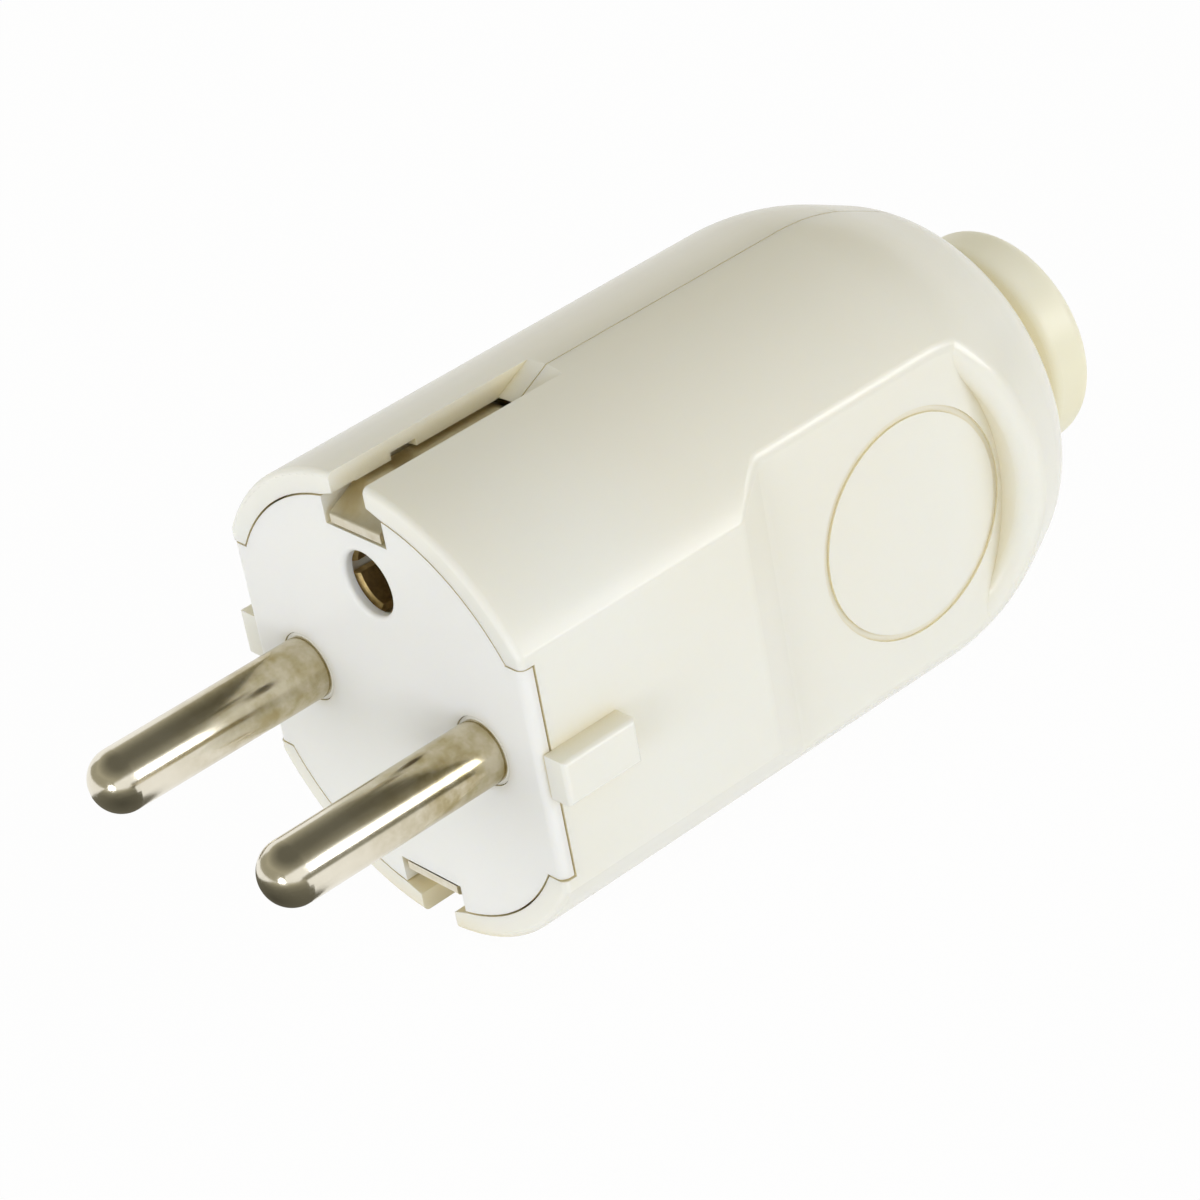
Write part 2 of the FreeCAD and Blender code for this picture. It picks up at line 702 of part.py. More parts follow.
def cord_hole():
    """Hole in the housing's end for the grommet's neck, with room for its flange inside."""
    body = new_body("cord_hole")
    neck = size.grommet_neck_diameter / 2 + size.grommet_gap
    flange = size.grommet_flange_diameter / 2 + size.grommet_gap
    inside = size.body_length - size.end_wall
    front = inside - size.grommet_flange_thickness - 2 * size.grommet_gap
    profile = new_sketch(body, "XY_Plane")
    outline(profile, [
        (ZERO, front),
        (flange, front),
        (flange, inside),
        (neck, inside),
        (neck, FAR_EDGE),
        (ZERO, FAR_EDGE),
    ])
    turn(body, "Revolution", profile)
    return body


def flatted_circle(sketch, radius, half_width):
    """Circle cut off by two upright lines."""
    height = radius.leg(half_width)
    middle = Part.Circle(FreeCAD.Vector(), FreeCAD.Vector(0, 0, 1), radius.number)
    angle = math.atan2(height.number, half_width.number)
    right_top = FreeCAD.Vector(half_width.number, height.number, 0)
    left_top = FreeCAD.Vector(-half_width.number, height.number, 0)
    top = sketch.addGeometry(Part.ArcOfCircle(middle, angle, math.pi - angle))
    left = sketch.addGeometry(Part.LineSegment(left_top, -right_top))
    low = sketch.addGeometry(Part.ArcOfCircle(middle, math.pi + angle, 2 * math.pi - angle))
    right = sketch.addGeometry(Part.LineSegment(-left_top, right_top))
    for one, other in ((top, left), (left, low), (low, right), (right, top)):
        sketch.addConstraint(Sketcher.Constraint("Coincident", one, 2, other, 1))
    for arc in (top, low):
        sketch.addConstraint(Sketcher.Constraint("Coincident", arc, 3, -1, 1))
        hold(sketch, "Radius", (arc,), radius)
    for line, place in ((left, -half_width), (right, half_width)):
        hold(sketch, "DistanceX", (line, 1), place)
        hold(sketch, "DistanceX", (line, 2), place)


def screw_posts(side, diameter, along, offset):
    """Pair of posts from the split out to one side's wall."""
    start = size.split_gap / 2 if side > 0 else -EDGE
    length = EDGE - (ZERO if side > 0 else size.split_gap / 2)
    name = "post_" + ("right" if side > 0 else "left")
    return [rod_along_x(name, start, length, along, up, diameter) for up in (offset, -offset)]


def screw_holes(name, start, length, along, offset, diameter):
    return [rod_along_x(name, start, length, along, up, diameter) for up in (offset, -offset)]


def housing_half(name, side, outside, walls, posts, holes):
    """One half of the walls, with its own posts and holes."""
    near = size.split_gap / 2
    left, right = (near, EDGE) if side > 0 else (-EDGE, -near)
    space = block(name + "_space", left, right, -EDGE, FAR_EDGE, -EDGE, EDGE)
    half = combine("Common", name + "_walls", walls, space)
    posts_inside = combine("Common", name + "_posts", outside, fuse(name + "_post_set", posts))
    joined = fuse(name + "_joined", [half, posts_inside])
    shell = combine("Cut", name, joined, fuse(name + "_hole_set", holes))
    return shell


def housing():
    """Both halves of the housing, split in the plane through the slots and the cord."""
    outside = housing_outside()
    inside = plug_form("housing_inside", size.wall)
    hollow = combine("Cut", "housing_hollow", outside, inside)
    stop = combine("Common", "housing_stop_inside", outside, housing_stop())
    rim = combine("Common", "front_rim_inside", outside, front_rim())
    stopped = fuse("housing_stopped", [hollow, stop, rim])
    cuts = fuse("housing_cuts", [slot_cut(), front_window(), bead_groove(), cord_hole()])
    walls = combine("Cut", "housing_walls", stopped, cuts)
    place = housing_screw_place
    offset = size.housing_screw_offset
    well_posts = screw_posts(-1, size.well_boss_diameter, place, offset)
    passing = size.screw_diameter + 2 * size.passing_clearance
    wells = screw_holes("well", -EDGE, EDGE - size.head_seat, place, offset, size.well_diameter)
    wells += screw_holes("well_hole", -size.head_seat, size.head_seat, place, offset, passing)
    left = housing_half("housing_left", -1, outside, walls, well_posts, wells)
    posts = screw_posts(1, size.boss_diameter, place, offset)
    posts += screw_posts(1, size.clamp_boss_diameter, clamp_place, size.clamp_screw_offset)
    posts.append(cord_saddle())
    insert_depth = size.insert_recess + size.insert_length
    screw_depth = size.housing_screw_length - size.head_seat + size.screw_end_gap
    thread = size.screw_diameter + 2 * size.thread_clearance
    holes = screw_holes("insert_hole", ZERO, insert_depth, place, offset, size.insert_diameter)
    holes += screw_holes("screw_end_hole", ZERO, screw_depth, place, offset, thread)
    clamp_depth = size.clamp_screw_length - size.clamp_thickness + size.screw_end_gap
    holes += screw_holes("clamp_hole", ZERO, clamp_depth, clamp_place, size.clamp_screw_offset, thread)
    holes.append(cord_room("saddle_room"))
    right = housing_half("housing_right", 1, outside, walls, posts, holes)
    return [left, right]


def cord_saddle():
    """Rib across the right half that the cord is pressed against."""
    half = size.saddle_width / 2
    front = clamp_place - half
    rear = clamp_place + half
    up = size.saddle_half_height
    return block("cord_saddle", size.saddle_start, EDGE, front, rear, -up, up)


def cord_room(name):
    """Space of the cord between the saddle and the clamp bar."""
    body = new_body(name)
    radius = cord_radius - size.cord_squeeze
    start = clamp_place - size.clamp_depth
    pad_rearwards(body, lambda sketch: circle(sketch, ZERO, ZERO, radius), start, 2 * size.clamp_depth)
    return body


# Insert with the contacts

def place_on_pins(draw_one):
    """Draw the same thing at both pins' places."""
    def draw(sketch):
        for across in (-pin_place, pin_place):
            draw_one(sketch, across)
    return draw


def contact_carrier():
    """White insert: face, skirt, bosses for the pins, chamber for the sleeve, notches for the strip."""
    body = new_body("contact_carrier")
    half_width = flat_inner - size.carrier_clearance
    depth = size.carrier_depth
    inner = carrier_radius - size.carrier_wall
    inner_half = half_width - size.carrier_wall
    face = size.carrier_face
    pin_stop = depth - size.flange_thickness
    front_radius = rim_radius - size.carrier_clearance
    step = size.rim_length + size.carrier_clearance
    pad_rearwards(body, lambda sketch: flatted_circle(sketch, front_radius, half_width), ZERO, depth)
    pad_rearwards(
        body,
        lambda sketch: flatted_circle(sketch, carrier_radius, half_width),
        step,
        depth - step,
    )
    lip_reach = flat_place - size.lip_gap / 2
    pad_rearwards(
        body,
        lambda sketch: box_outline(sketch, -lip_reach, lip_reach, -lip_half_height, lip_half_height),
        ZERO,
        size.lip_thickness,
    )
    bead = carrier_radius + size.bead_height
    pad_rearwards(
        body,
        lambda sketch: flatted_circle(sketch, bead, half_width),
        size.bead_start,
        size.bead_width,
    )
    pocket_rearwards(body, lambda sketch: flatted_circle(sketch, inner, inner_half), face, depth)
    boss_root = face / 2
    boss = size.pin_boss_diameter / 2
    draw_bosses = place_on_pins(lambda sketch, across: circle(sketch, across, ZERO, boss))
    pad_rearwards(body, draw_bosses, boss_root, pin_stop - boss_root)
    sleeve_boss = size.sleeve_boss_diameter / 2
    earth_height = size.earth_height
    pad_rearwards(
        body,
        lambda sketch: circle(sketch, ZERO, earth_height, sleeve_boss),
        boss_root,
        depth - boss_root,
    )
    screw_boss = size.screw_boss_diameter / 2
    pad_rearwards(
        body,
        lambda sketch: circle(sketch, ZERO, carrier_screw_height, screw_boss),
        boss_root,
        depth - boss_root,
    )
    pin_hole = size.seat_diameter / 2 + size.seat_clearance
    draw_holes = place_on_pins(lambda sketch, across: circle(sketch, across, ZERO, pin_hole))
    pocket_rearwards(body, draw_holes, -FRONT_MARGIN, 2 * depth)
    flange_hole = size.flange_diameter / 2 + size.flange_clearance
    draw_flanges = place_on_pins(lambda sketch, across: circle(sketch, across, ZERO, flange_hole))
    pocket_rearwards(body, draw_flanges, pin_stop, depth)
    earth_hole = size.earth_hole_diameter / 2
    pocket_rearwards(
        body,
        lambda sketch: circle(sketch, ZERO, earth_height, earth_hole),
        -FRONT_MARGIN,
        2 * face,
    )
    chamber = sleeve_radius + size.sleeve_clearance
    pocket_rearwards(
        body,
        lambda sketch: circle(sketch, ZERO, earth_height, chamber),
        size.sleeve_start - size.sleeve_clearance,
        depth,
    )
    thread = screw_radius + size.thread_clearance
    pocket_rearwards(
        body,
        lambda sketch: circle(sketch, ZERO, carrier_screw_height, thread),
        face + size.screw_boss_floor,
        depth,
    )
    strip_notches(body, strip_lip_base - size.notch_gap, -FRONT_MARGIN)
    round_edges(body, lip_end_edge(lip_reach), size.lip_rounding)
    round_edges(body, hole_edge(earth_hole), size.earth_hole_rounding)
    return body


def strip_notches(body, floor, start):
    """Notches for the earth strip, above and below."""
    half = size.notch_width / 2
    notch = pocket_rearwards(
        body,
        lambda sketch: box_outline(sketch, -half, half, floor, EDGE),
        start,
        EDGE,
    )
    mirror(body, [notch], "XY_Plane")


def lip_end_edge(reach):
    """Test for the front edges of the lip at the flats."""
    def test(edge):
        box = edge.BoundBox
        upright = box.XLength < TOUCHING and box.YLength < TOUCHING
        return upright and abs(box.YMin) < TOUCHING and abs(abs(box.XMin) - reach.number) < TOUCHING
    return test


def hole_edge(radius):
    """Test for the front edge of a hole of this radius in the face."""
    def test(edge):
        box = edge.BoundBox
        at_front = box.YLength < TOUCHING and abs(box.YMin) < TOUCHING
        return at_front and abs(box.XLength - 2 * radius.number) < TOUCHING
    return test


def carrier_backplate():
    """Plate behind the carrier that traps the pins' flanges."""
    body = new_body("carrier_backplate")
    radius = inner_radius - size.backplate_clearance
    half_width = flat_inner - size.backplate_clearance
    thickness = size.backplate_thickness
    front = backplate_front
    pad_rearwards(body, lambda sketch: flatted_circle(sketch, radius, half_width), front, thickness)
    head_hole = size.head_diameter / 2 + size.head_clearance
    draw_heads = place_on_pins(lambda sketch, across: circle(sketch, across, ZERO, head_hole))
    passing = screw_radius + size.passing_clearance
    sleeve_hole = sleeve_radius + size.sleeve_clearance

    def draw(sketch):
        draw_heads(sketch)
        circle(sketch, ZERO, size.earth_height, sleeve_hole)
        circle(sketch, ZERO, size.terminal_height, passing)
        circle(sketch, ZERO, carrier_screw_height, passing)

    pocket_rearwards(body, draw, front - FRONT_MARGIN, 2 * thickness)
    floor = strip_top - size.strip_bend_radius - size.strip_bend_gap
    strip_notches(body, floor, front - FRONT_MARGIN)
    return body


def contact_pin(name, across):
    """Mains pin, turned with its flange and its drilled terminal head."""
    body = new_body(name)
    flange_front = size.carrier_depth - size.flange_thickness
    head_end = size.carrier_depth + size.head_length
    head_radius = size.head_diameter / 2
    profile = new_sketch(body, "XY_Plane")
    outline(profile, [
        (ZERO, -size.pin_reach),
        (pin_radius, -size.pin_reach, pin_radius * size.tip_roundness),
        (pin_radius, size.seat_start),
        (size.seat_diameter / 2, size.seat_start),
        (size.seat_diameter / 2, flange_front),
        (size.flange_diameter / 2, flange_front),
        (size.flange_diameter / 2, size.carrier_depth),
        (head_radius, size.carrier_depth),
        (head_radius, head_end, size.head_rounding),
        (ZERO, head_end),
    ])
    turn(body, "Revolution", profile)
    wire_hole = size.wire_hole_diameter / 2
    wire_start = head_end - size.wire_hole_depth
    pocket_rearwards(body, lambda sketch: circle(sketch, ZERO, ZERO, wire_hole), wire_start, EDGE)
    top = new_sketch(body, "XY_Plane")
    thread = screw_radius + size.thread_clearance
    circle(top, ZERO, size.carrier_depth + size.pin_screw_place, thread)
    extrude(body, "Pocket", top, head_radius * 2, back=True)
    body.setExpression(".Placement.Base.x", across.text)
    return body


def earth_strip():
    """Sprung strip: a contact in each slot, joined by a bridge behind the backplate."""
    body = new_body("earth_strip")
    inner = strip_top - size.strip_thickness
    start = size.strip_lip_start
    ramp = size.strip_ramp_end
    lower_ramp = ramp + size.strip_ramp_shift
    ramp_turn = size.strip_ramp_rounding
    outer_bend = size.strip_bend_radius
    inner_bend = outer_bend - size.strip_thickness
    upper = [
        (start, strip_lip_base),
        (start, strip_lip_top, size.strip_lip_rounding),
        (ramp, strip_top, ramp_turn),
        (bridge_rear, strip_top, outer_bend),
    ]
    lower = [(corner[0], -corner[1], *corner[2:]) for corner in reversed(upper)]
    inside = [
        (lower_ramp, -inner, ramp_turn),
        (bridge_front, -inner, inner_bend),
        (bridge_front, inner, inner_bend),
        (lower_ramp, inner, ramp_turn),
    ]
    side = new_sketch(body, "YZ_Plane")
    outline(side, upper + lower + inside)
    extrude(body, "Pad", side, size.strip_width, both=True)
    thread = screw_radius + size.thread_clearance
    passing = screw_radius + size.passing_clearance
    tail = size.tail_diameter / 2 + size.tail_clearance

    def draw(sketch):
        circle(sketch, ZERO, size.earth_height, tail)
        circle(sketch, ZERO, size.terminal_height, thread)
        circle(sketch, ZERO, carrier_screw_height, passing)

    pocket_rearwards(body, draw, bridge_front - FRONT_MARGIN, 3 * FRONT_MARGIN)
    return body


def earth_socket_sleeve():
    """Slit sleeve that grips a socket's earthing pin, riveted to the strip."""
    body = new_body("earth_socket_sleeve")
    bore = size.sleeve_bore / 2
    start = size.sleeve_start
    tail = size.tail_diameter / 2
    head = size.tail_head_diameter / 2
    head_end = bridge_rear + size.tail_head_height
    profile = new_sketch(body, "XY_Plane")
    outline(profile, [
        (bore, start + size.sleeve_mouth),
        (bore + size.sleeve_mouth, start),
        (sleeve_radius, start),
        (sleeve_radius, bridge_front),
        (tail, bridge_front),
        (tail, bridge_rear),
        (head, bridge_rear),
        (size.tail_head_crown / 2, head_end),
        (ZERO, head_end),
        (ZERO, bridge_front - size.sleeve_base),
        (bore, bridge_front - size.sleeve_base),
    ])
    turn(body, "Revolution", profile)
    half = size.sleeve_slit / 2

    def draw(sketch):
        box_outline(sketch, -half, half, -2 * sleeve_radius, 2 * sleeve_radius)

    def draw_turned(sketch):
        box_outline(sketch, -2 * sleeve_radius, 2 * sleeve_radius, -half, half)

    for draw_slit in (draw, draw_turned):
        pocket_rearwards(body, draw_slit, start - FRONT_MARGIN, size.sleeve_slit_length + FRONT_MARGIN)
    body.setExpression(".Placement.Base.z", size.earth_height.text)
    return body


# Fastenings

HEAD_UP = FreeCAD.Rotation()
HEAD_TO_REAR = FreeCAD.Rotation(FreeCAD.Vector(1, 0, 0), -90)
HEAD_TO_LEFT = FreeCAD.Rotation(FreeCAD.Vector(0, 1, 0), -90)


def screw(name, length, turned, across, along, up):
    """Slotted cheese-head screw whose head sits at the given place."""
    body = new_body(name)
    head = size.screw_head_diameter / 2
    height = size.screw_head_height
    profile = new_sketch(body, "XZ_Plane")
    outline(profile, [
        (ZERO, -length),
        (screw_radius - size.screw_tip_bevel, -length),
        (screw_radius, size.screw_tip_bevel - length),
        (screw_radius, ZERO),
        (head, ZERO),
        (head, height, size.screw_head_rounding),
        (ZERO, height),
    ])
    turn(body, "Revolution", profile)
    slot = new_sketch(body, "XY_Plane", height - size.driver_slot_depth)
    half = size.driver_slot_width / 2
    box_outline(slot, -2 * head, 2 * head, -half, half)
    extrude(body, "Pocket", slot, height, back=True)
    body.Placement = FreeCAD.Placement(FreeCAD.Vector(), turned)
    body.setExpression(".Placement.Base.x", across.text)
    body.setExpression(".Placement.Base.y", along.text)
    body.setExpression(".Placement.Base.z", up.text)
    return body


def screws():
    """All the screws, each with the head where it clamps."""
    head_top = size.head_diameter / 2 + size.pin_screw_gap
    pin_screw = size.carrier_depth + size.pin_screw_place
    washer_rear = bridge_rear + size.washer_thickness
    terminal = size.terminal_height
    clamp_head = -size.clamp_thickness
    above_cord = size.clamp_screw_offset
    above_axis = size.housing_screw_offset
    short = size.pin_screw_length
    carrier_length = size.carrier_screw_length
    clamp_length = size.clamp_screw_length
    long = size.housing_screw_length
    seat = -size.head_seat
    rows = [
        ("line_terminal_screw", short, HEAD_UP, pin_place, pin_screw, head_top),
        ("neutral_terminal_screw", short, HEAD_UP, -pin_place, pin_screw, head_top),
        ("earth_terminal_screw", size.earth_screw_length, HEAD_TO_REAR, ZERO, washer_rear, terminal),
        ("carrier_screw", carrier_length, HEAD_TO_REAR, ZERO, bridge_rear, carrier_screw_height),
        ("cord_clamp_screw_upper", clamp_length, HEAD_TO_LEFT, clamp_head, clamp_place, above_cord),
        ("cord_clamp_screw_lower", clamp_length, HEAD_TO_LEFT, clamp_head, clamp_place, -above_cord),
        ("housing_screw_upper", long, HEAD_TO_LEFT, seat, housing_screw_place, above_axis),
        ("housing_screw_lower", long, HEAD_TO_LEFT, seat, housing_screw_place, -above_axis),
    ]
    return [screw(*row) for row in rows]


def housing_insert(name, up):
    """Threaded bush pressed into the right half."""
    body = new_body(name)
    thread = screw_radius + size.thread_clearance
    radius = size.insert_diameter / 2
    sketch = new_sketch(body, "YZ_Plane", size.insert_recess)
    circle(sketch, ZERO, ZERO, radius)
    circle(sketch, ZERO, ZERO, thread)
    extrude(body, "Pad", sketch, size.insert_length)
    body.setExpression(".Placement.Base.y", housing_screw_place.text)
    body.setExpression(".Placement.Base.z", up.text)
    return body


def earth_clamp_washer():
    """Square washer that presses the earth core on to the strip."""
    body = new_body("earth_clamp_washer")
    half = size.washer_side / 2
    middle = size.terminal_height
    passing = screw_radius + size.passing_clearance

    def draw(sketch):
        box_outline(sketch, -half, half, middle - half, middle + half)
        circle(sketch, ZERO, middle, passing)

    pad_rearwards(body, draw, bridge_rear, size.washer_thickness)
    return body


def cord_clamp_bar():
    """Bar with an arch over the cord and a hole at each end."""
    body = new_body("cord_clamp_bar")
    start = clamp_place - size.clamp_depth / 2
    depth = size.clamp_depth
    span = size.clamp_half_span
    room = cord_radius - size.cord_squeeze
    arch = room + size.clamp_thickness
    pad_rearwards(
        body,
        lambda sketch: box_outline(sketch, -size.clamp_thickness, ZERO, -span, span),
        start,
        depth,
    )
    pad_rearwards(body, lambda sketch: circle(sketch, ZERO, ZERO, arch), start, depth)
    pocket_rearwards(body, lambda sketch: circle(sketch, ZERO, ZERO, room), start - depth, 3 * depth)
    pocket_rearwards(
        body,
        lambda sketch: box_outline(sketch, ZERO, EDGE, -EDGE, EDGE),
        start - depth,
        3 * depth,
    )
    passing = screw_radius + size.passing_clearance
    holes = new_sketch(body, "YZ_Plane", -size.clamp_thickness - FRONT_MARGIN)
    for up in (size.clamp_screw_offset, -size.clamp_screw_offset):
        circle(holes, clamp_place, up, passing)
    extrude(body, "Pocket", holes, EDGE, back=True)
    return body


def cord_grommet():
    """Soft collar held in the housing's end, with a rounded bead outside."""
    body = new_body("cord_grommet")
    bore = size.cord_diameter / 2
    flange = size.grommet_flange_diameter / 2
    neck = size.grommet_neck_diameter / 2
    bead = size.grommet_bead_diameter / 2
    inside = size.body_length - size.end_wall - size.grommet_gap
    end = size.body_length + size.grommet_reach
    profile = new_sketch(body, "XY_Plane")
    outline(profile, [
        (bore, inside - size.grommet_flange_thickness),
        (flange, inside - size.grommet_flange_thickness),
        (flange, inside),
        (neck, inside),
        (neck, size.body_length + size.grommet_groove_end),
        (bead, size.body_length + size.grommet_bead_start, size.grommet_rounding),
        (bead, end, size.grommet_rounding),
        (bore, end),
    ])
    turn(body, "Revolution", profile)
    return body


# Build, check and export

def finished_parts():
    parts = housing()
    parts.append(contact_carrier())
    parts.append(carrier_backplate())
    parts.append(contact_pin("line_pin", pin_place))
    parts.append(contact_pin("neutral_pin", -pin_place))
    parts.append(earth_strip())
    parts.append(earth_socket_sleeve())
    parts.append(earth_clamp_washer())
    parts.extend(screws())
    parts.append(housing_insert("housing_insert_upper", size.housing_screw_offset))
    parts.append(housing_insert("housing_insert_lower", -size.housing_screw_offset))
    parts.append(cord_clamp_bar())
    parts.append(cord_grommet())
    return parts


def check_document(parts):
    """Stop if any object failed or any part isn't one valid solid."""
    doc.recompute()
    for item in doc.Objects:
        if "Invalid" in item.State or "Error" in item.State:
            raise RuntimeError("%s failed: %s" % (item.Label, item.State))
    for part in parts:
        shape = part.Shape
        if shape.isNull() or not shape.isValid() or len(shape.Solids) != 1:
            raise RuntimeError("%s has no single valid solid" % part.Label)


def export(parts):
    os.makedirs("parts", exist_ok=True)
    for part in parts:
        part.Shape.exportStep("parts/%s.step" % part.Label)


finished = finished_parts()
check_document(finished)
export(finished)
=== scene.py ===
import json
import math

import bpy
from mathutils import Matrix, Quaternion, Vector


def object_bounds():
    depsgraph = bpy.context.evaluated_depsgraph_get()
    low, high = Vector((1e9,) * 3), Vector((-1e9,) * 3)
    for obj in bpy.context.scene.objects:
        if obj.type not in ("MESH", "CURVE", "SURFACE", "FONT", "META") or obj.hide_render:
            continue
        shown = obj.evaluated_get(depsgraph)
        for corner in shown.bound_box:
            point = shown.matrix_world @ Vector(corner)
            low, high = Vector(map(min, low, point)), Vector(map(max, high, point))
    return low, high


# Two-pin earthed mains plug: finish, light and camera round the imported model.
# X runs along the pins' row, the pins point to -Y and Z is up. Lengths are in metres.

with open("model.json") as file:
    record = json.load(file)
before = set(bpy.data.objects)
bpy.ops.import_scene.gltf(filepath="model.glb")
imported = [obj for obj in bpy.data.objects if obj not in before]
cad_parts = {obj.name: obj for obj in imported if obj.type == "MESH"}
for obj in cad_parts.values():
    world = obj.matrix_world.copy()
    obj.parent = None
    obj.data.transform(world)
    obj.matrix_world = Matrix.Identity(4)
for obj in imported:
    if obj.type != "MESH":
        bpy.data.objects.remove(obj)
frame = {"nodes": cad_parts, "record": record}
cad_box = [list(corner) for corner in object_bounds()]
scene = bpy.context.scene

FLOOR_HEIGHT = cad_box[0][2]


# Node helpers

def empty_material(name):
    """Node material with nothing in it but its output."""
    material = bpy.data.materials.new(name)
    material.use_nodes = True
    tree = material.node_tree
    tree.nodes.clear()
    return material, tree, tree.nodes.new("ShaderNodeOutputMaterial")


def object_place(tree):
    """Coordinates of a point on the object, in metres."""
    return tree.nodes.new("ShaderNodeTexCoord").outputs["Object"]


def new_material(name):
    """Node material with its tree, its shader and its coordinates."""
    material, tree, output = empty_material(name)
    shader = tree.nodes.new("ShaderNodeBsdfPrincipled")
    tree.links.new(shader.outputs["BSDF"], output.inputs["Surface"])
    return material, tree, shader, object_place(tree)


def noise(tree, place, scale, detail, roughness=0.5):
    node = tree.nodes.new("ShaderNodeTexNoise")
    node.inputs["Scale"].default_value = scale
    node.inputs["Detail"].default_value = detail
    node.inputs["Roughness"].default_value = roughness
    tree.links.new(place, node.inputs["Vector"])
    return node.outputs["Fac"]


def spread(tree, value, low, high, to_low=0.0, to_high=1.0):
    """Map a value's range low to high on to another range."""
    node = tree.nodes.new("ShaderNodeMapRange")
    node.inputs["From Min"].default_value = low
    node.inputs["From Max"].default_value = high
    node.inputs["To Min"].default_value = to_low
    node.inputs["To Max"].default_value = to_high
    tree.links.new(value, node.inputs["Value"])
    return node.outputs["Result"]


def math_node(tree, operation, first, second):
    node = tree.nodes.new("ShaderNodeMath")
    node.operation = operation
    tree.links.new(first, node.inputs[0])
    tree.links.new(second, node.inputs[1])
    return node.outputs[0]


def blend_colors(tree, factor, first, second):
    """Mix two colours, each a tuple or a socket, by a factor."""
    node = tree.nodes.new("ShaderNodeMix")
    node.data_type = "RGBA"
    tree.links.new(factor, node.inputs["Factor"])
    for name, color in (("A", first), ("B", second)):
        socket = next(s for s in node.inputs if s.name == name and s.type == "RGBA")
        if isinstance(color, tuple):
            socket.default_value = color
        else:
            tree.links.new(color, socket)
    return next(s for s in node.outputs if s.type == "RGBA")


def bump(tree, shader, heights):
    """Chain of bumps: each height is a socket, a strength and a distance."""
    normal = None
    for height, strength, distance in heights:
        node = tree.nodes.new("ShaderNodeBump")
        node.inputs["Strength"].default_value = strength
        node.inputs["Distance"].default_value = distance
        tree.links.new(height, node.inputs["Height"])
        if normal is not None:
            tree.links.new(normal, node.inputs["Normal"])
        normal = node.outputs["Normal"]
    tree.links.new(normal, shader.inputs["Normal"])


def srgb(red, green, blue):
    """A colour as seen on screen, 0 to 255, as the linear tuple that shaders take."""
    def linear(level):
        level = level / 255
        return level / 12.92 if level <= 0.04045 else ((level + 0.055) / 1.055) ** 2.4
    return (linear(red), linear(green), linear(blue), 1.0)


# Materials

# Noise patterns: features per metre, and levels of finer detail
CLOUDS = (35.0, 2.0)
FLOW_MARKS = (90.0, 1.0)
ORANGE_PEEL = (420.0, 2.0)
TARNISH_SPOTS = (420.0, 5.0)
DIMPLES = (700.0, 3.0)
TURNING_GRAIN = (1800.0, 4.0)
SCRATCHES = (2600.0, 5.0)
SPOT_ROUGHNESS = 0.6

# Parts of a pattern's values over which one finish goes into the other
CLOUD_SPAN = (0.35, 0.65)
SPOT_SPAN = (0.36, 0.62)
GRAIN_SPAN = (0.35, 0.7)
GLOSS_SPAN = (0.3, 0.7)

# Shares: tarnish where there is least, and the smoothest and roughest places of a metal
LEAST_TARNISH = 0.5
SMOOTHEST = 0.8
ROUGHEST = 1.3

# Strength and height of the bumps
PEEL_BUMP = (0.05, 0.0001)
FLOW_BUMP = (0.08, 0.0003)
SCRATCH_BUMP = (0.08, 0.00002)
DIMPLE_BUMP = (0.06, 0.00004)
GRAIN_BUMP = (0.15, 0.00003)

# Plastic: light passes a little way into it, and red light the furthest
PLASTIC_IOR = 1.49
SCATTER_LENGTH = 0.0012
SCATTER_BY_COLOR = (1.0, 0.9, 0.7)

# Pins, along Y: tarnished as far out as the first place, and worn bright beyond the second, with only
# a share of the tarnish left. From the face inwards, the ring of the pin's seat has the colour of the
# carrier, as if under a thin skin of its plastic.
TARNISH_END = -0.005
BRIGHT_START = -0.014
TARNISH_LEFT = 0.15
SKIN_START = 0.00002
SKIN_END = 0.00004
SKIN_COLOR = srgb(236, 234, 224)

# Scratches run along Y
SCRATCH_STRETCH = (1.0, 0.06, 1.0)

# Openness of a place, from a flat one to the bottom of a groove, and the most painted shade there
FLAT_OPENNESS = 0.85
GROOVE_OPENNESS = 0.35
MOST_PAINTED_SHADE = 0.9
OPENNESS_RAYS = 4

# Finish of each material slot, its colours as seen on screen. A plastic's shade colour is painted shade: a
# warm, darker tint laid into its grooves, seams and inner corners, out to the given reach.
PLASTICS = {
    "ivory_shell": {
        "color": srgb(241, 241, 234), "aged": srgb(240, 238, 227), "painted_shade": srgb(229, 216, 172),
        "painted_shade_reach": 0.004, "roughness": 0.24, "scatter": 0.35},
    "white_insert": {
        "color": srgb(244, 244, 241), "aged": srgb(242, 242, 237), "painted_shade": srgb(232, 220, 180),
        "painted_shade_reach": 0.0012, "roughness": 0.40, "scatter": 0.3},
    "soft_collar": {
        "color": srgb(252, 249, 232), "aged": srgb(246, 237, 194), "painted_shade": srgb(228, 210, 148),
        "painted_shade_reach": 0.004, "roughness": 0.36, "scatter": 0.2},
    "clamp_plastic": {
        "color": srgb(226, 224, 214), "aged": srgb(222, 219, 206), "painted_shade": srgb(200, 190, 160),
        "painted_shade_reach": 0.002, "roughness": 0.4, "scatter": 0.1},
}
PLATED_METALS = {
    "plated_pins": {
        "color": srgb(238, 232, 216), "tarnish": srgb(170, 156, 114), "roughness": 0.16, "pin": True},
    "strip_metal": {
        "color": srgb(249, 246, 236), "tarnish": srgb(232, 224, 200), "roughness": 0.42, "pin": False},
}
TURNED_METALS = {
    "brass": {"color": srgb(220, 196, 142), "dark": srgb(186, 160, 108), "roughness": 0.42},
    "screw_steel": {"color": srgb(200, 200, 196), "dark": srgb(168, 168, 162), "roughness": 0.3},
}


